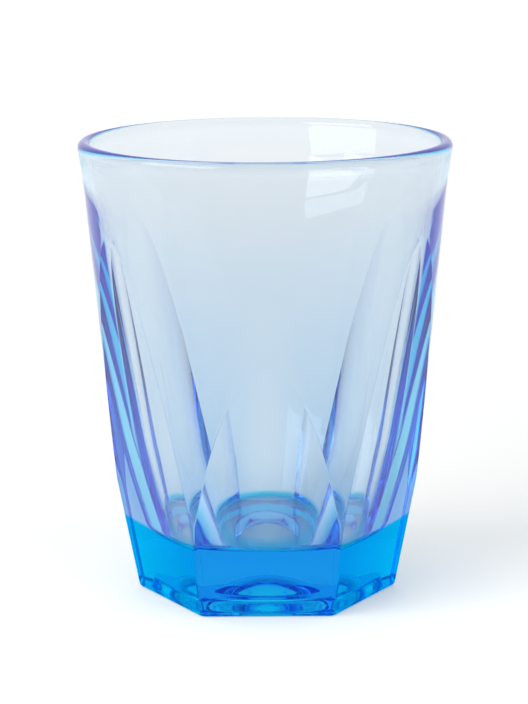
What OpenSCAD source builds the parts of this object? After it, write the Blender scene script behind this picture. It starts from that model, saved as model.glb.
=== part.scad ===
// A latte glass pressed in one piece: a round rim, a tapering wall, six leaning flats and a thick foot.
// Millimetres, with +Z up the axis and the origin on the table under the middle of the foot.
// The front flat faces -Y.

/* [Overall] */
// Height from the table to the top of the lip
glass_h = 108.5; // [102:0.5:118]

/* [Lip] */
// Outside diameter of the lip
lip_d = 88; // [86.4:0.2:92]
// Thickness of the rounded lip
lip_t = 3.2; // [2.6:0.1:4]
// Outward lean of the lip's half round, in degrees
lip_lean = 7; // [2:1:12]
// Height over which the wall sweeps out to the lip
sweep_h = 13; // [8:0.5:16]

/* [Round wall] */
// Outside diameter where the sweep to the lip starts
wall_d = 84.4; // [82:0.2:86]
// Lean of the outside from upright, in degrees
wall_lean = 5.4; // [4.6:0.1:6]
// Thickness of the wall where the sweep starts
wall_t = 3; // [2.6:0.1:5]

/* [Flats] */
// Distance across opposite flats at the table
foot_d = 53.6; // [50:0.1:56]
// Height of the arched tops of the front and back flats
short_arch_h = 62; // [52:1:76]
// Height of the arched tops of the four side flats
tall_arch_h = 88; // [78:1:91]
// Depth taken off the ridges between neighbouring flats
ridge_ease = 0.2; // [0.1:0.05:0.6]
// Depth of the bevel round the edge of the foot
foot_ease = 0.8; // [0.3:0.1:1.5]

/* [Inside] */
// Thickness of solid glass under the drink
floor_t = 15.4; // [12:0.2:18]
// Inside diameter at the floor before its corner is rounded
floor_d = 42; // [40:0.2:50]
// Radius of the corner between the floor and the wall
floor_round = 3; // [1.5:0.5:8]
// Height at which the inside begins to follow the flats
knee_h = 30.5; // [27:0.5:36]
// Inside diameter at that height before the bend is eased
knee_d = 54.6; // [52.4:0.1:57]
// Length of wall to either side of that height over which the bend is eased
knee_run = 10.6; // [4:0.2:10.8]

/* [Underside] */
// Inside diameter of the rim that the glass stands on
rim_d = 45; // [42:0.2:47]
// Depth of the recess inside the rim
recess_h = 3.5; // [2:0.1:4.5]
// How far the side of the recess leans in
recess_in = 2.5; // [1:0.1:4]
// Diameter of the domed hollow in the middle of the recess
hollow_d = 25.6; // [16:0.2:30]
// Height of the dome above the recess
hollow_h = 4; // [1:0.1:5]

/* [Hidden] */
$fn = 128;

// Number of flats, and the angle from one to the next
FLATS = 6;
STEP = 360 / FLATS;
// Edge of the block that cuts a flat, larger than the glass
CUT = 200;
// Steps along a curved stretch of the section
CURVE = 12;

// Middle of the lip's round
lip_r = (lip_d - lip_t) / 2;
lip_z = glass_h - lip_t / 2;
// How far from its middle the round meets the wall, and how far below it outside and above it inside
lip_side = lip_t / 2 * cos(lip_lean);
lip_drop = lip_t / 2 * sin(lip_lean);
// Height at which the sweep to the lip starts
sweep_z = lip_z - lip_drop - sweep_h;

// Outside radius of the round wall below the sweep
wall_k = tan(wall_lean);
function wall_r(z) = wall_d / 2 + wall_k * (z - sweep_z);

// A flat starts at the foot and leans out until it meets the round wall at its arched top
foot_r = foot_d / 2;
function flat_k(arch_h) = (wall_r(arch_h) - foot_r) / arch_h;
short_k = flat_k(short_arch_h);
tall_k = flat_k(tall_arch_h);
function side_k(i) = (i % 3 == 0) ? short_k : tall_k;

// A ridge leans by the mean of its two flats
function ridge_k(i) = (side_k(i) + side_k(i + 1)) / 2 / cos(STEP / 2);
ridge_r = foot_r / cos(STEP / 2) - ridge_ease;

// Inside wall from the knee to the sweep
inside_r = wall_d / 2 - wall_t;
inside_k = (inside_r - knee_d / 2) / (sweep_z - knee_h);

// Middle of the bend, the lean of the wall above and below it, and its two ends
knee = [knee_d / 2, knee_h];
above_a = atan(inside_k);
below_a = atan2((knee_d - floor_d) / 2, knee_h - floor_t);
knee_low = knee - knee_run * [sin(below_a), cos(below_a)];
knee_high = knee + knee_run * [sin(above_a), cos(above_a)];

// Rounded corner of the floor, tangent to the floor and to the wall below the knee
corner_a = atan2(knee_h - floor_t, (knee_d - floor_d) / 2);
corner_r = floor_d / 2 - floor_round * tan(corner_a / 2);

// Radius of the recess at the table, and the ball that shapes the dome above it
rim_r = rim_d / 2;
hollow_r = (pow(hollow_d / 2, 2) + pow(hollow_h, 2)) / (2 * hollow_h);

// Points of a wall that starts at radius r with slope k and ends at radius end and height top, bending evenly
function swept(r, k, end, top) = [
    for (i = [0 : CURVE])
        let (t = i / CURVE, h = top - sweep_z)
        [r + k * h * t + (end - r - k * h) * t * t, sweep_z + h * t]
];

// Points of an arc about [x, z], from angle a to angle b
function arc(x, z, r, a, b) = [
    for (i = [0 : CURVE])
        let (t = a + (b - a) * i / CURVE)
        [x + r * cos(t), z + r * sin(t)]
];

// Points of a bend from a to c that leaves a towards b and comes into c from b
function eased(a, b, c) = [
    for (i = [0 : CURVE])
        let (t = i / CURVE)
        a * (1 - t) * (1 - t) + b * 2 * t * (1 - t) + c * t * t
];

// The same points in the other order, and the same points without the two ends
function turned(list) = [for (i = [len(list) - 1 : -1 : 0]) list[i]];
function inner(list) = [for (i = [1 : len(list) - 2]) list[i]];

outside = concat(
    [[0, 0], [wall_r(0), 0]],
    swept(wall_d / 2, wall_k, lip_r + lip_side, lip_z - lip_drop)
);

lip = arc(lip_r, lip_z, lip_t / 2, -lip_lean, 180 - lip_lean);

inside = concat(
    [[0, floor_t]],
    arc(corner_r, floor_t + floor_round, floor_round, -90, corner_a - 90),
    eased(knee_low, knee, knee_high),
    swept(inside_r, inside_k, lip_r - lip_side, lip_z + lip_drop)
);

// Half of the round glass before the flats are cut
module section() {
    difference() {
        polygon(concat(outside, inner(lip), turned(inside)));
        polygon([[-1, -1], [rim_r, -1], [rim_r, 0], [rim_r - recess_in, recess_h], [-1, recess_h]]);
        translate([0, recess_h + hollow_h - hollow_r])
            circle(r = hollow_r);
    }
}

// Everything outside a plane that faces the direction turn, at distance reach on the table and leaning out
module beyond(turn, reach, slope) {
    rotate([0, 0, turn])
        translate([reach, 0, 0])
            rotate([0, atan(slope), 0])
                translate([0, -CUT / 2, -CUT])
                    cube([CUT, CUT, 2 * CUT]);
}

module tumbler() {
    color("SteelBlue")
        difference() {
            rotate_extrude()
                section();
            for (i = [0 : FLATS - 1]) {
                beyond(STEP * i - 90, foot_r, side_k(i));
                beyond(STEP * (i + 0.5) - 90, ridge_r, ridge_k(i));
                beyond(STEP * i - 90, foot_r - foot_ease, 1);
            }
        }
}

tumbler();
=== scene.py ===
"""Dresses the latte glass: one pressed tumbler of blue glass, standing on a white table in a studio."""

import math

import bpy
import numpy as np
from bpy.props import FloatProperty, FloatVectorProperty, PointerProperty
from mathutils import Matrix, Vector


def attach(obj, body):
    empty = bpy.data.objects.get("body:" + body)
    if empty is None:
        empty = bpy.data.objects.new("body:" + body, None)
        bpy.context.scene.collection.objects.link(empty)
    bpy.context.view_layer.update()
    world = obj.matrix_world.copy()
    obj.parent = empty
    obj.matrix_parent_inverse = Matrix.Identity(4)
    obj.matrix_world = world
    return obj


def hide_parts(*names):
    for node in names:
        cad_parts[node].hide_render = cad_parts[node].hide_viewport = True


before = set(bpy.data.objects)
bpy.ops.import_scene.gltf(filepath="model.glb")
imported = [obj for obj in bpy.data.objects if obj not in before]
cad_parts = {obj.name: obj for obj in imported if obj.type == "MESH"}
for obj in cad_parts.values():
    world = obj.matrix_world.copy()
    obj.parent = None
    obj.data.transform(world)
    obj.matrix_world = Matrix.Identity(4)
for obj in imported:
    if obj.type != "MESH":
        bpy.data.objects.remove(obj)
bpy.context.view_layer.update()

bl_info = {
    "name": "Latte Glass",
    "version": (1, 0, 0),
    "blender": (4, 5, 0),
    "location": "View3D > Sidebar > Latte Glass",
    "description": "Builds a pressed blue latte glass and the white studio that it stands in",
    "category": "Object",
}

MILLIMETRE = 0.001
WHITE = (1.0, 1.0, 1.0, 1.0)

# Number of flats, the angle from one to the next, and the way that the front one faces
FLATS = 6
STEP = math.tau / FLATS
FRONT = -math.pi / 2
# Cosine under which a flat faces too far away to bound a place on the outside
FACING = 0.3
# Least angle between the middle of a flat and the line that ends it
LEAST_HALF = math.radians(3)

# Rings of points on each stretch of the glass, counting the ends that it shares
HOLLOW_RINGS = 64
SOLE_RINGS = 8
FOOT_RINGS = 11
WALL_RINGS = 110
SWEEP_RINGS = 14
LIP_RINGS = 22
INNER_SWEEP_RINGS = 12
# Longest step between rings below the sweep inside
INNER_PITCH = 0.002
# Radius of the smallest rings, which fans of triangles close
POLE = 0.0004
# How far outside the recess the last ring of the hollow lies
SOLE_GAP = 0.0002
# Angle from level at which the rings of the foot's round end
ROUND_END = math.radians(7)
# How far above the start of the sweep the columns begin to spread evenly
EVEN_START = 0.002
# Share of a ball's radius out to which its cap is worked out
CAP_SHARE = 0.99

# Y at which the table's extra light begins and at which it is full, in front of the glass and behind it. The
# part in front is painted light, which lifts the shade that the glass casts on the table in front of it.
FRONT_PAINTED_LIGHT = (0.06, -0.04)
BACK_GLOW = (0.2, 1.5)
# How far the table lies under the foot, so that the two never share a plane
TABLE_GAP = 0.00005
# Point that the key panel faces
KEY_AIM = (0.0, 0.0, 0.06)
# Sideways part of a direction at which the shade at the right begins and is full
SHADE_EDGE = (0.15, 0.8)
# Times that light may bounce inside the glass
BOUNCES = 32

# Places of a mix node's two inputs and of its result
MIX_PLACES = {"FLOAT": (2, 3, 0), "RGBA": (6, 7, 2)}


def length(name, description, millimetres):
    """A length property, given in millimetres and stored in metres."""
    return FloatProperty(
        name=name,
        description=description,
        default=millimetres * MILLIMETRE,
        min=0.0,
        precision=5,
        unit="LENGTH",
        subtype="DISTANCE",
    )


def slope(name, description, value):
    """A property for how far something leans out for each unit of height."""
    return FloatProperty(
        name=name, description=description, default=value, min=0.0, max=1.0, precision=4
    )


def tilt(name, description, radians):
    """A property for an angle."""
    return FloatProperty(name=name, description=description, default=radians, subtype="ANGLE")


def number(name, description, value):
    """A property for a plain number."""
    return FloatProperty(name=name, description=description, default=value, precision=4)


def several(name, description, values, subtype="NONE"):
    """A property for two or three numbers."""
    return FloatVectorProperty(
        name=name,
        description=description,
        default=values,
        size=len(values),
        precision=4,
        subtype=subtype,
    )


class LatteGlassShape(bpy.types.PropertyGroup):
    """Sizes of the tumbler."""

    height: length("Height", "From the table to the top of the lip", 108.5)
    lip_reach: length("Lip radius", "From the axis to the outside of the lip", 43.98)
    lip_thick: length("Lip thickness", "Across the rounded lip", 3.2)
    lip_lean: tilt("Lip lean", "Outward lean of the lip's half round", math.radians(7))
    sweep: length("Sweep", "Height over which the wall bends out to the lip", 13.0)
    wall_foot: length("Wall radius", "Radius of the round wall, carried down to the table", 33.36)
    wall_slope: slope("Wall lean", "Lean of the round wall", 0.0945)
    foot_reach: length("Foot reach", "From the axis to each flat, carried down to the table", 26.8)
    lean_front: slope("Front lean", "Lean of the front flat", 0.2010)
    lean_back: slope("Back lean", "Lean of the back flat", 0.2010)
    lean_side: slope("Side lean", "Lean of the two flats beside the front one", 0.1690)
    lean_rear: slope("Rear lean", "Lean of the two flats beside the back one", 0.1720)
    ridge_round: length("Ridge round", "Radius of the ridges between flats", 1.8)
    foot_round: length("Foot round", "Radius of the edge of the foot", 1.0)
    crease_soft: length("Crease softness", "Half the width of the line where a flat meets the wall", 0.15)
    spear_point: length("Spear point", "Height at which a ridge ends in the round wall", 34.0)
    floor_height: length("Floor height", "Solid glass under the drink", 15.4)
    floor_reach: length("Floor radius", "Inside radius at the floor before its corner is rounded", 21.0)
    floor_round: length("Floor round", "Radius of the corner of the floor", 3.0)
    knee_height: length("Knee height", "Height at which the inside begins to follow the flats", 30.5)
    knee_reach: length("Knee radius", "Inside radius at that height before the bend is eased", 27.3)
    knee_round: length("Knee round", "Radius of the bend at that height", 100.0)
    wall_thick: length("Wall thickness", "Thickness of the wall where the sweep starts", 3.0)
    hollow_reach: length("Hollow radius", "Radius of the hollow in the middle of the recess", 12.8)
    hollow_deep: length("Hollow depth", "Depth of that hollow above the recess", 4.0)
    hollow_soft: length("Hollow softness", "How softly the hollow runs into the recess", 0.3)
    rim_reach: length("Rim radius", "Inside radius of the rim that the glass stands on", 22.5)
    rim_bend: length("Rim bend", "Width over which the rim rises to the recess under the foot", 2.5)
    rim_tall: length("Rim height", "Depth of the recess under the foot", 3.5)


class LatteGlassTint(bpy.types.PropertyGroup):
    """Colour of the glass."""

    taken: several(
        "Taken up",
        "Share of red, green and blue light that the glass takes up in each millimetre",
        (0.043, 0.0205, 0.0035),
    )
    wall_tint: several("Wall tint", "Colour of the surface of the wall", (0.935, 0.92, 0.91), "COLOR")
    foot_tint: several("Foot tint", "Colour of the surface of the foot", (0.3, 0.86, 1.0), "COLOR")
    foot_skin: several(
        "Foot skin",
        "What the foot's skin passes of the light that it mirrors or lets through",
        (0.14, 0.96, 1.0),
        "COLOR",
    )
    foot_lean: slope("Foot lean", "Rise of the cone under which a surface has the foot's colours", 0.15)
    foot_top: length("Foot top", "Height of that cone at the axis", 12.5)
    wall_start: length("Wall start", "Height at the axis of the cone where the wall's colours begin", 13.5)
    turned: several(
        "Turned back",
        "Slant at which the skin begins to tint light turned back inside, slant at which it does "
        "so in full, and how much",
        (0.25, 0.32, 0.58),
    )
    ripple: number("Ripple", "Depth of the slow ripples left by the mould", 0.02)
    polish: number("Polish", "Unevenness of the polish", 0.008)


class LatteGlassStudio(bpy.types.PropertyGroup):
    """Camera, light and table."""

    camera_place: several(
        "Camera", "Where the camera stands", (-0.000507, -0.67104, 0.19278), "TRANSLATION"
    )
    camera_pitch: tilt("Pitch", "How far the camera looks down", 0.199)
    camera_roll: tilt("Roll", "Turn about the line of sight", -0.0052)
    camera_lens: number("Lens", "Focal length in millimetres", 147.273)
    room: several("Room", "Light from the room in front of the glass", (0.0, 0.24, 0.6), "COLOR")
    room_edge: several("Room edge", "Where the room begins and where it is fully dark", (0.45, 0.9))
    tent: several("Tent", "Light from the tent at the table's height and overhead", (0.68, 1.08))
    shade: number("Right shade", "Share of the tent's light that comes from the right", 0.65)
    key: number("Key panel", "Radiance of the light panel at the left", 4.0)
    key_place: several("Key place", "Where the key panel hangs", (-1.0, -0.7, 0.62), "TRANSLATION")
    key_size: several("Key size", "Width and height of the key panel", (1.2, 0.75))
    table_front: length("Table front", "From the glass's axis to the front of the table", 130.0)
    table_back: length("Table back", "From the axis to the back and the sides of the table", 4000.0)
    table_white: several("Table white", "Colour of the table", (0.93, 0.92, 0.89), "COLOR")
    # The table's extra glow in front of the glass is painted light, which lifts the shade that the glass
    # casts on the table there.
    glow: several(
        "Table glow",
        "Light of the table itself: everywhere, more in front and more far behind",
        (0.13, 0.18, 0.16),
    )


def smooth(t):
    """Smoothstep: nought up to 0, one from 1 on, and level at both ends of the rise."""
    t = np.clip(t, 0, 1)
    return t * t * (3 - 2 * t)


def rounded(points, radii, steps=14):
    """A polyline whose corners are arcs of the given radii, each tangent to both of its sides."""
    points = [np.array(p, float) for p in points]
    out = [points[0][None]]
    for before, here, after, radius in zip(points, points[1:], points[2:], radii):
        back = (before - here) / np.linalg.norm(before - here)
        ahead = (after - here) / np.linalg.norm(after - here)
        half = math.acos(float(np.clip(back @ ahead, -1, 1))) / 2
        middle = here + (back + ahead) / np.linalg.norm(back + ahead) * radius / math.sin(half)
        start = here + back * radius / math.tan(half) - middle
        end = here + ahead * radius / math.tan(half) - middle
        first = math.atan2(start[1], start[0])
        turn = (math.atan2(end[1], end[0]) - first + math.pi) % math.tau - math.pi
        angle = first + turn * np.linspace(0, 1, steps)
        out.append(middle + radius * np.stack([np.cos(angle), np.sin(angle)], 1))
    out.append(points[-1][None])
    return np.concatenate(out)


def spread(points, pitch):
    """The polyline with points added along it, so that no step is longer than the pitch."""
    run = np.concatenate([[0], np.cumsum(np.linalg.norm(np.diff(points, axis=0), axis=1))])
    counts = np.maximum(1, np.ceil(np.diff(run) / pitch)).astype(int)
    stretches = zip(run, run[1:], counts)
    steps = [np.linspace(start, end, count, endpoint=False) for start, end, count in stretches]
    place = np.concatenate(steps + [run[-1:]])
    return np.stack([np.interp(place, run, points[:, 0]), np.interp(place, run, points[:, 1])], 1)


def reaches(size, z):
    """Distance from the axis to each flat at heights z, as an array of flats by heights.

    A flat leans out in proportion to height. Near the table the distance follows a circle that touches both
    the flat and the table.
    """
    leans = [size.lean_front, size.lean_side, size.lean_rear, size.lean_back, size.lean_rear, size.lean_side]
    lean = np.array(leans)[:, None]
    angle = np.arctan(lean)
    middle = size.foot_reach - size.foot_round * (1 - np.sin(angle)) / np.cos(angle)
    bend = middle + np.sqrt(np.maximum(size.foot_round**2 - (size.foot_round - z) ** 2, 0))
    low = z < size.foot_round * (1 - np.sin(angle))
    return np.where(low, bend, size.foot_reach + lean * z)


def lip_ends(size):
    """Height of the lip's middle, and how far from it, sideways and in height, the lip meets the wall."""
    return (
        size.height - size.lip_thick / 2,
        size.lip_thick / 2 * math.cos(size.lip_lean),
        size.lip_thick / 2 * math.sin(size.lip_lean),
    )


def wall_radius(size, z):
    """Outside radius of the round wall: a cone, then a sweep that grows with the square of height."""
    middle, half, drop = lip_ends(size)
    top = middle - drop
    cone = size.wall_foot + size.wall_slope * z
    more = size.lip_reach - size.lip_thick / 2 + half - (size.wall_foot + size.wall_slope * top)
    return cone + more * np.clip((z - top + size.sweep) / size.sweep, 0, 1) ** 2


def outline(size, theta, z):
    """Outside radius at angles theta (heights by columns) and heights z.

    It is the least of the round wall and of a hexagon of flats, whose ridges are arcs tangent to both flats.
    """
    reach = reaches(size, z)[:, :, None]
    radius = np.full(theta.shape, np.inf)
    for i in range(FLATS):
        facing = np.cos(theta - FRONT - i * STEP)
        ray = reach[i] / np.maximum(facing, FACING)
        radius = np.where(facing > FACING, np.minimum(radius, ray), radius)
    for i in range(FLATS):
        one = reach[i] - size.ridge_round
        two = reach[(i + 1) % FLATS] - size.ridge_round
        along = (one + two) / 2 / math.cos(STEP / 2)
        across = (two - one) / 2 / math.sin(STEP / 2)
        off = (theta - FRONT - (i + 0.5) * STEP + math.pi) % math.tau - math.pi
        near = along * np.cos(off) + across * np.sin(off)
        inside = size.ridge_round**2 - (along**2 + across**2 - near**2)
        ray = near + np.sqrt(np.maximum(inside, 0))
        turn = np.arctan2(ray * np.sin(off) - across, ray * np.cos(off) - along)
        hit = (inside > 0) & (np.abs(turn) < STEP / 2) & (np.abs(off) < STEP / 2)
        radius = np.where(hit, np.minimum(radius, ray), radius)
    return np.minimum(radius, wall_radius(size, z)[:, None])


def columns(size, z, flat=9, bend=12):
    """Angle of every column at heights z.

    In each half of a flat the columns run from its middle to the crease or ridge that ends it, with one
    close on either side of that line, and on to where the next flat begins.
    """
    reach = reaches(size, z)
    held = reaches(size, np.minimum(z, size.spear_point))
    wall = wall_radius(size, z)
    soft = size.crease_soft / wall
    inner = np.linspace(0, 1, flat + 1)[1:]
    outer = np.linspace(0, 1, bend)
    out = []
    for i in range(FLATS):
        halves = []
        for side in (-1, 1):
            here, beside = held[i], held[(i + side) % FLATS]
            edge = np.arctan2((beside - here * math.cos(STEP)) / math.sin(STEP), here)
            start = np.arctan(np.tan(edge) - size.ridge_round * math.tan(STEP / 2) / here)
            crease = np.arccos(np.clip(reach[i] / wall, -1, 1))
            line = np.maximum(np.minimum(crease, start), LEAST_HALF)
            before = (line - soft)[:, None] * inner
            beyond = (line + soft)[:, None] + (edge - line - soft)[:, None] * outer
            halves.append(np.concatenate([before, line[:, None], beyond], 1))
        left, right = halves
        fan = np.concatenate([-left[:, -2::-1], np.zeros((len(z), 1)), right], 1)
        out.append(fan + FRONT + i * STEP)
    return np.concatenate(out, 1)


def even_columns(count):
    """Angles of a number of columns that are spread evenly round the axis."""
    return FRONT - STEP / 2 + math.tau * (np.arange(count) + 0.5) / count


def hollow_height(size, radius):
    """Height of the underside: a recess that rises smoothly inside the rim, and a ball's cap above it.

    The cap runs into the recess as a hyperbola runs into its asymptote.
    """
    ball = (size.hollow_reach**2 + size.hollow_deep**2) / (2 * size.hollow_deep)
    cap = np.sqrt(ball**2 - np.minimum(radius, CAP_SHARE * ball) ** 2) - (ball - size.hollow_deep)
    rise = smooth((size.rim_reach - radius) / size.rim_bend)
    return rise * (size.rim_tall + (cap + np.sqrt(cap**2 + size.hollow_soft**2)) / 2)


def inside_profile(size):
    """Radius and height down the inside, from the lip to the middle of the floor.

    The sweep bends with the square of height; then come a straight wall, and a knee and the floor's corner
    as arcs.
    """
    middle, half, drop = lip_ends(size)
    start = middle - drop - size.sweep
    tall = size.sweep + 2 * drop
    reach = float(wall_radius(size, np.array([start]))[0]) - size.wall_thick
    rise = (reach - size.knee_reach) / (start - size.knee_height)
    end = size.lip_reach - size.lip_thick / 2 - half
    t = np.linspace(1, 0, INNER_SWEEP_RINGS, endpoint=False)
    radius = reach + rise * tall * t + (end - reach - rise * tall) * t * t
    bend = np.stack([radius, start + tall * t], 1)
    corners = [
        (reach, start),
        (size.knee_reach, size.knee_height),
        (size.floor_reach, size.floor_height),
        (POLE, size.floor_height),
    ]
    rest = rounded(corners, [size.knee_round, size.floor_round])
    return np.concatenate([bend, spread(rest, INNER_PITCH)])


def outside_rings(size):
    """Angle, radius and height up the outside, each as rings by columns, from the table to the lip.

    The columns keep to the flats, and in the sweep they ease over to an even spread.
    """
    middle, _, drop = lip_ends(size)
    top = middle - drop
    high = top - size.sweep
    low = size.foot_round * (1 - np.sin(np.linspace(math.pi / 2, ROUND_END, FOOT_RINGS)))
    wall = np.linspace(low[-1], high, WALL_RINGS)
    sweep = np.linspace(high, top, SWEEP_RINGS)
    z = np.concatenate([low, wall[1:], sweep[1:]])
    aligned = columns(size, z)
    ease = smooth((z - high - EVEN_START) / (top - high - EVEN_START))[:, None]
    theta = aligned * (1 - ease) + even_columns(aligned.shape[1]) * ease
    return theta, outline(size, theta, z), np.broadcast_to(z[:, None], theta.shape)


def underside_rings(size, theta, radius):
    """Angle, radius and height under the foot, each as rings by columns, from the middle of the hollow out.

    Rings out to the recess's edge are round; the sole's rings blend from there to the outline given.
    """
    even = even_columns(len(theta))
    ring = np.linspace(POLE, size.rim_reach + SOLE_GAP, HOLLOW_RINGS)[:, None]
    hollow = (HOLLOW_RINGS, len(theta))
    t = np.linspace(0, 1, SOLE_RINGS)[1:-1, None]
    under_t = np.concatenate([np.broadcast_to(even, hollow), even + (theta - even) * t])
    under_r = np.concatenate([np.broadcast_to(ring, hollow), ring[-1] + (radius - ring[-1]) * t])
    return under_t, under_r, hollow_height(size, under_r)


def upper_rings(size, count):
    """Angle, radius and height, each as rings by columns, over the lip's half round and down the inside."""
    middle, _, _ = lip_ends(size)
    half = size.lip_thick / 2
    turn = np.linspace(-size.lip_lean, math.pi - size.lip_lean, LIP_RINGS)[1:-1]
    lip = np.stack([size.lip_reach - half + half * np.cos(turn), middle + half * np.sin(turn)], 1)
    profile = np.concatenate([lip, inside_profile(size)])
    shape = (len(profile), count)
    return (
        np.broadcast_to(even_columns(count), shape),
        np.broadcast_to(profile[:, :1], shape),
        np.broadcast_to(profile[:, 1:], shape),
    )


def closed_grid(name, points):
    """A closed mesh from rings of points, with a fan of triangles to the mean of each end ring."""
    rings, count = points.shape[:2]
    vertices = np.concatenate([points.reshape(-1, 3), points[:1].mean(1), points[-1:].mean(1)])
    here = np.arange(count)
    following = (here + 1) % count
    base = (np.arange(rings - 1) * count)[:, None]
    lower = [base + here, base + following]
    upper = [base + count + following, base + count + here]
    quads = np.stack(lower + upper, 2).reshape(-1, 4)
    last = (rings - 1) * count
    fans = np.concatenate(
        [
            np.stack([following, here, np.full(count, rings * count)], 1),
            np.stack([last + here, last + following, np.full(count, rings * count + 1)], 1),
        ]
    )
    corners = np.concatenate([quads.ravel(), fans.ravel()])
    starts = np.concatenate([np.arange(len(quads)) * 4, quads.size + np.arange(len(fans)) * 3])
    mesh = bpy.data.meshes.new(name)
    mesh.vertices.add(len(vertices))
    mesh.vertices.foreach_set("co", vertices.astype(np.float32).ravel())
    mesh.loops.add(len(corners))
    mesh.loops.foreach_set("vertex_index", corners.astype(np.int32))
    mesh.polygons.add(len(starts))
    mesh.polygons.foreach_set("loop_start", starts.astype(np.int32))
    mesh.update(calc_edges=True)
    mesh.validate()
    mesh.shade_smooth()
    return mesh


def tumbler_mesh(size):
    """The glass as one closed mesh, from the middle of the hollow to the middle of the floor.

    The rings run over the foot, up the outside, over the lip and down the inside. x and y are the radius
    times the cosine and sine of the angle, and z is the height.
    """
    outside = outside_rings(size)
    theta, radius, _ = outside
    underside = underside_rings(size, theta[0], radius[0])
    upper = upper_rings(size, theta.shape[1])
    theta, radius, z = (np.concatenate(stretch) for stretch in zip(underside, outside, upper))
    return closed_grid("tumbler", np.stack([radius * np.cos(theta), radius * np.sin(theta), z], 2))


def feed(tree, socket, value):
    """Links a socket from another one, or sets it to a value."""
    if isinstance(value, bpy.types.NodeSocket):
        tree.links.new(value, socket)
    else:
        socket.default_value = value


def node(tree, kind, **inputs):
    """A new node with the named inputs set to a value or linked from a socket."""
    new = tree.nodes.new(kind)
    for key, value in inputs.items():
        feed(tree, new.inputs[key.replace("_", " ")], value)
    return new


def maths(tree, operation, one, two):
    """The result of an operation on two values or sockets."""
    new = tree.nodes.new("ShaderNodeMath")
    new.operation = operation
    feed(tree, new.inputs[0], one)
    feed(tree, new.inputs[1], two)
    return new.outputs[0]


def ramp(tree, value, start, end, low, high, kind="SMOOTHSTEP"):
    """A value that goes from low to high while another goes from start to end."""
    new = node(
        tree, "ShaderNodeMapRange", Value=value, From_Min=start, From_Max=end, To_Min=low, To_Max=high
    )
    new.interpolation_type = kind
    return new.outputs[0]


def mixed(tree, kind, factor, one, two):
    """A mix of two single values or of two colours, from the first at nought to the second at one."""
    new = node(tree, "ShaderNodeMix", Factor=factor)
    new.data_type = kind
    first, second, result = MIX_PLACES[kind]
    feed(tree, new.inputs[first], one)
    feed(tree, new.inputs[second], two)
    return new.outputs[result]


def new_group(name, takes, gives):
    """An empty node group with named inputs and outputs, and the sockets of both inside it."""
    group = bpy.data.node_groups.new(name, "ShaderNodeTree")
    for in_out, sockets in (("INPUT", takes), ("OUTPUT", gives)):
        for title, kind in sockets:
            group.interface.new_socket(title, in_out=in_out, socket_type=f"NodeSocket{kind}")
    return group, group.nodes.new("NodeGroupInput").outputs, group.nodes.new("NodeGroupOutput").inputs


def placed(tree, group, **inputs):
    """The outputs of a node group placed in a material, with its inputs set or linked."""
    new = tree.nodes.new("ShaderNodeGroup")
    new.node_tree = group
    for key, value in inputs.items():
        feed(tree, new.inputs[key], value)
    return new.outputs


def pressed_skin():
    """Node group for the skin of pressed glass: slow ripples from the mould and an uneven polish."""
    name = "Pressed skin"
    if name in bpy.data.node_groups:
        return bpy.data.node_groups[name]
    group, come, go = new_group(
        name,
        (("Vector", "Vector"), ("Ripple", "Float"), ("Polish", "Float")),
        (("Normal", "Vector"), ("Roughness", "Float")),
    )
    slow = node(group, "ShaderNodeTexNoise", Vector=come["Vector"], Scale=90.0, Detail=1.0)
    fine = node(group, "ShaderNodeTexNoise", Vector=come["Vector"], Scale=260.0, Detail=2.0)
    bump = node(
        group, "ShaderNodeBump", Strength=come["Ripple"], Distance=0.001, Height=slow.outputs["Fac"]
    )
    feed(group, go["Normal"], bump.outputs["Normal"])
    feed(group, go["Roughness"], maths(group, "MULTIPLY", fine.outputs["Fac"], come["Polish"]))
    return group


def foot_mask():
    """Node group for the mask of the foot: one below a cone about the axis, falling smoothly to nought.

    The cone rises outwards by the lean, so that it lies under the middle of the drink's floor and meets the
    outside higher up.
    """
    name = "Foot mask"
    if name in bpy.data.node_groups:
        return bpy.data.node_groups[name]
    group, come, go = new_group(
        name,
        (("Vector", "Vector"), ("Lean", "Float"), ("Low", "Float"), ("High", "Float")),
        (("Mask", "Float"),),
    )
    place = node(group, "ShaderNodeSeparateXYZ", Vector=come["Vector"]).outputs
    level = node(group, "ShaderNodeCombineXYZ", X=place["X"], Y=place["Y"])
    reach = group.nodes.new("ShaderNodeVectorMath")
    reach.operation = "LENGTH"
    feed(group, reach.inputs[0], level.outputs[0])
    rise = maths(group, "MULTIPLY", reach.outputs["Value"], come["Lean"])
    above = maths(group, "SUBTRACT", place["Z"], rise)
    feed(group, go["Mask"], ramp(group, above, come["Low"], come["High"], 1.0, 0.0))
    return group


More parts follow.
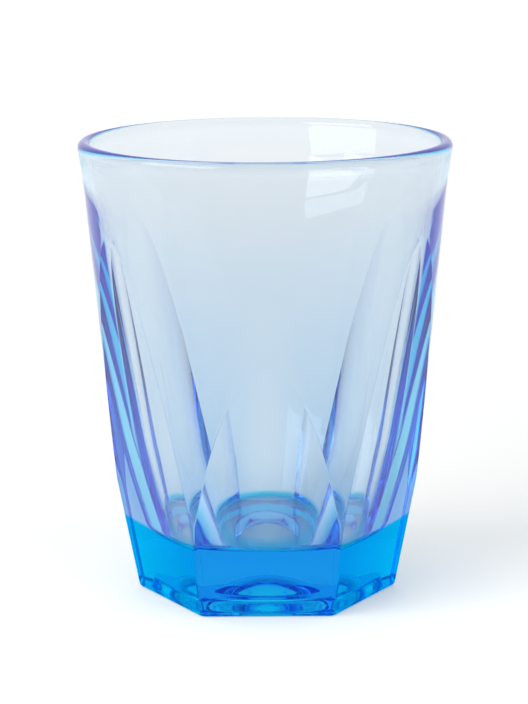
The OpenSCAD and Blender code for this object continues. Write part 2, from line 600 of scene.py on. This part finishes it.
def glass_material(look):
    """Clear glass tinted through its mass: light is taken up along its way, red most and blue least.

    Its surface is tinted too. The wall is slightly grey, and the skin of the solid foot is blue where light
    meets it from outside. Light that meets the surface from inside at a slant where glass turns it back is
    tinted in part, whatever the height.
    """
    mat = bpy.data.materials.new("blue_glass")
    mat.use_nodes = True
    tree = mat.node_tree
    shader, out = tree.nodes["Principled BSDF"], tree.nodes["Material Output"]
    place = node(tree, "ShaderNodeTexCoord").outputs["Object"]
    skin = placed(tree, pressed_skin(), Vector=place, Ripple=look.ripple, Polish=look.polish)
    foot = placed(
        tree, foot_mask(), Vector=place, Lean=look.foot_lean, Low=look.foot_top, High=look.wall_start
    )
    slant = node(tree, "ShaderNodeLayerWeight", Blend=0.5)
    begins, full, share = look.turned
    turned = ramp(tree, slant.outputs["Facing"], begins, full, 0.0, share)
    side = node(tree, "ShaderNodeNewGeometry")
    tinted = mixed(tree, "FLOAT", side.outputs["Backfacing"], foot["Mask"], turned)
    colour = mixed(tree, "RGBA", tinted, (*look.wall_tint, 1.0), (*look.foot_tint, 1.0))
    finish = {
        "Base Color": colour,
        "Roughness": skin["Roughness"],
        "Normal": skin["Normal"],
        "IOR": 1.52,
        "Transmission Weight": 1.0,
        "Coat Weight": tinted,
        "Coat Roughness": 0.0,
        "Coat IOR": 1.0,
        "Coat Tint": (*look.foot_skin, 1.0),
    }
    for name, value in finish.items():
        feed(tree, shader.inputs[name], value)
    most = max(look.taken)
    passed = [1 - one / most for one in look.taken]
    mass = node(tree, "ShaderNodeVolumeAbsorption", Color=(*passed, 1.0), Density=most / MILLIMETRE)
    feed(tree, out.inputs["Volume"], mass.outputs[0])
    return mat


class LATTE_OT_tumbler(bpy.types.Operator):
    """Builds the glass and puts it in place of the plain solid"""

    bl_idname = "latte.tumbler"
    bl_label = "Build tumbler"

    def execute(self, context):
        mesh = tumbler_mesh(context.scene.latte_shape)
        mesh.materials.append(glass_material(context.scene.latte_tint))
        piece = bpy.data.objects.new("latte_tumbler", mesh)
        context.scene.collection.objects.link(piece)
        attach(piece, "root")
        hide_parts("tumbler")
        return {"FINISHED"}


def table_material(studio):
    """Matte white with a little light of its own, more far behind the glass and more in front of it, where
    the extra light is painted light that lifts the shade the glass casts on the table.
    """
    mat = bpy.data.materials.new("ground")
    mat.use_nodes = True
    tree = mat.node_tree
    shader = tree.nodes["Principled BSDF"]
    place = node(tree, "ShaderNodeTexCoord")
    depth = node(tree, "ShaderNodeSeparateXYZ", Vector=place.outputs["Object"]).outputs["Y"]
    everywhere, front, behind = studio.glow
    # Painted light: the table glows more in front of the glass, which lifts the shade that the glass casts
    # there.
    near = ramp(tree, depth, *FRONT_PAINTED_LIGHT, 0.0, front)
    far = ramp(tree, depth, *BACK_GLOW, everywhere, everywhere + behind, "LINEAR")
    finish = {
        "Base Color": (*studio.table_white, 1.0),
        "Roughness": 0.9,
        "Specular IOR Level": 0.0,
        "Emission Color": WHITE,
        "Emission Strength": maths(tree, "ADD", near, far),
    }
    for name, value in finish.items():
        feed(tree, shader.inputs[name], value)
    return mat


def table(studio):
    """A flat white table that ends in front of the glass and runs far to the sides and back."""
    near, far = -studio.table_front, studio.table_back
    mesh = bpy.data.meshes.new("ground")
    mesh.from_pydata(
        [(-far, near, 0), (far, near, 0), (far, far, 0), (-far, far, 0)], [], [(0, 1, 2, 3)]
    )
    mesh.materials.append(table_material(studio))
    new = bpy.data.objects.new("ground", mesh)
    new.location.z = -TABLE_GAP
    return new


def emitter(name, strength):
    """A plain glowing surface."""
    mat = bpy.data.materials.new(name)
    mat.use_nodes = True
    tree = mat.node_tree
    tree.nodes.remove(tree.nodes["Principled BSDF"])
    glow = node(tree, "ShaderNodeEmission", Strength=strength)
    feed(tree, tree.nodes["Material Output"].inputs["Surface"], glow.outputs[0])
    return mat


def key_panel(studio):
    """A flat light panel that faces the glass and that the camera doesn't see."""
    centre = Vector(studio.key_place)
    width, tall = studio.key_size
    facing = (Vector(KEY_AIM) - centre).normalized()
    across = facing.cross(Vector((0, 0, 1))).normalized()
    up = across.cross(facing)
    signs = ((-1, -1), (1, -1), (1, 1), (-1, 1))
    corners = [centre + across * (x * width / 2) + up * (y * tall / 2) for x, y in signs]
    mesh = bpy.data.meshes.new("key_panel")
    mesh.from_pydata([tuple(corner) for corner in corners], [], [(0, 1, 2, 3)])
    mesh.materials.append(emitter("key_panel", studio.key))
    new = bpy.data.objects.new("key_panel", mesh)
    new.visible_camera = False
    return new


def studio_world(studio):
    """A white tent, dimmer at the right, that opens to a dim blue room in front.

    The camera, mirrored rays and rays that pass straight through the glass see plain white instead.
    """
    world = bpy.data.worlds.new("studio")
    world.use_nodes = True
    tree = world.node_tree
    place = node(tree, "ShaderNodeTexCoord")
    way = node(tree, "ShaderNodeSeparateXYZ", Vector=place.outputs["Generated"]).outputs
    above = ramp(tree, way["Z"], 0.0, 1.0, *studio.tent, "LINEAR")
    below = maths(tree, "LESS_THAN", way["Z"], 0.0)
    shade = ramp(tree, way["X"], *SHADE_EDGE, 1.0, studio.shade)
    tent = maths(tree, "MULTIPLY", mixed(tree, "FLOAT", below, above, 1.0), shade)
    begins, dark = studio.room_edge
    front = ramp(tree, way["Y"], -begins, -dark, 0.0, 1.0)
    around = mixed(tree, "RGBA", front, tent, (*studio.room, 1.0))
    path = node(tree, "ShaderNodeLightPath").outputs
    unturned = maths(tree, "LESS_THAN", path["Glossy Depth"], 0.5)
    plain = maths(tree, "MULTIPLY", path["Is Transmission Ray"], unturned)
    for kind in ("Is Camera Ray", "Is Glossy Ray"):
        plain = maths(tree, "MAXIMUM", path[kind], plain)
    feed(tree, tree.nodes["Background"].inputs["Color"], mixed(tree, "RGBA", plain, around, WHITE))
    return world


def portrait_camera(studio):
    """The camera, level across but for its roll, that looks along +Y and down by its pitch."""
    data = bpy.data.cameras.new("portrait")
    data.sensor_fit = "VERTICAL"
    data.sensor_height = 36.0
    data.lens = studio.camera_lens
    data.clip_start = 0.01
    camera = bpy.data.objects.new("portrait", data)
    camera.matrix_world = (
        Matrix.Translation(studio.camera_place)
        @ Matrix.Rotation(math.pi / 2 - studio.camera_pitch, 4, "X")
        @ Matrix.Rotation(studio.camera_roll, 4, "Z")
    )
    return camera


class LATTE_OT_studio(bpy.types.Operator):
    """Lays the white table, sets the light and places the camera"""

    bl_idname = "latte.studio"
    bl_label = "Build studio"

    def execute(self, context):
        scene, studio = context.scene, context.scene.latte_studio
        floor = table(studio)
        key = key_panel(studio)
        camera = portrait_camera(studio)
        for thing in (floor, key, camera):
            scene.collection.objects.link(thing)
        scene.world = studio_world(studio)
        scene.camera = camera
        scene.view_settings.view_transform = "Standard"
        scene.cycles.max_bounces = BOUNCES
        scene.cycles.transmission_bounces = BOUNCES
        scene.cycles.glossy_bounces = BOUNCES
        return {"FINISHED"}


class LATTE_PT_sidebar(bpy.types.Panel):
    """Sizes and steps of the latte glass."""

    bl_idname = "LATTE_PT_sidebar"
    bl_label = "Latte Glass"
    bl_space_type = "VIEW_3D"
    bl_region_type = "UI"
    bl_category = "Latte Glass"

    def draw(self, context):
        for step, group in (
            ("latte.tumbler", context.scene.latte_shape),
            ("latte.tumbler", context.scene.latte_tint),
            ("latte.studio", context.scene.latte_studio),
        ):
            box = self.layout.box()
            for name in group.__annotations__:
                box.prop(group, name)
            box.operator(step)


CLASSES = (
    LatteGlassShape,
    LatteGlassTint,
    LatteGlassStudio,
    LATTE_OT_tumbler,
    LATTE_OT_studio,
    LATTE_PT_sidebar,
)


def register():
    for cls in CLASSES:
        bpy.utils.register_class(cls)
    bpy.types.Scene.latte_shape = PointerProperty(type=LatteGlassShape)
    bpy.types.Scene.latte_tint = PointerProperty(type=LatteGlassTint)
    bpy.types.Scene.latte_studio = PointerProperty(type=LatteGlassStudio)


def unregister():
    del bpy.types.Scene.latte_studio
    del bpy.types.Scene.latte_tint
    del bpy.types.Scene.latte_shape
    for cls in reversed(CLASSES):
        bpy.utils.unregister_class(cls)


def main():
    """Builds every piece and the studio."""
    register()
    bpy.ops.latte.tumbler()
    bpy.ops.latte.studio()


if __name__ == "__main__":
    main()
